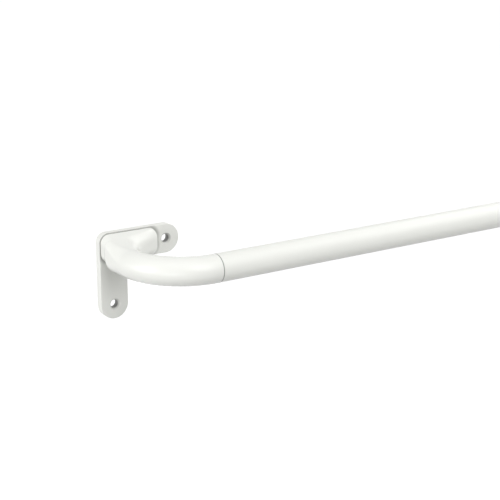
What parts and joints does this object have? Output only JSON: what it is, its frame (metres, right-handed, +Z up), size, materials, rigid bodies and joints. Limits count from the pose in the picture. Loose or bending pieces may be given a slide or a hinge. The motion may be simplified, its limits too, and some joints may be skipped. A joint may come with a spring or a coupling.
{
  "type": "wrap around curtain rod",
  "caption": "Telescoping round curtain rod whose ends bend back to the wall in moulded elbows, each locked on an L-shaped screw-on wall plate.",
  "frame": {"origin": "on the left wall plate's back face, where the left elbow's wall axis meets the wall, level with the rod's axis", "axes": "+X along the rod to its right end, +Y into the wall, +Z up"},
  "size_m": [0.799, 0.079, 0.0594],
  "materials": {
    "white_tube_paint": "satin white powder coat on steel tube",
    "white_plate_paint": "satin white paint on a casting",
    "white_elbow": "satin white moulding",
    "white_nylon": "plain white nylon",
    "screw_steel": "plated"
  },
  "bodies": {
    "left_half": {"left_wall_plate": "white_plate_paint", "left_elbow": "white_elbow", "left_lock_screw": "screw_steel", "outer_tube": "white_tube_paint", "mouth_bush": "white_nylon"},
    "glide": {"inner_glide": "white_nylon"},
    "right_half": {"inner_tube": "white_tube_paint", "right_elbow": "white_elbow", "right_lock_screw": "screw_steel", "right_wall_plate": "white_plate_paint"}
  },
  "joints": [
    {"name": "length_slide", "type": "slide", "parent": "left_half", "child": "glide", "axis": [1, 0, 0], "range_m": [-0.088, 0.42]},
    {"name": "rod_twist", "type": "hinge", "parent": "glide", "child": "right_half", "pos_m": [0.19, -0.0695, 0], "axis": [1, 0, 0], "continuous": true}
  ]
}
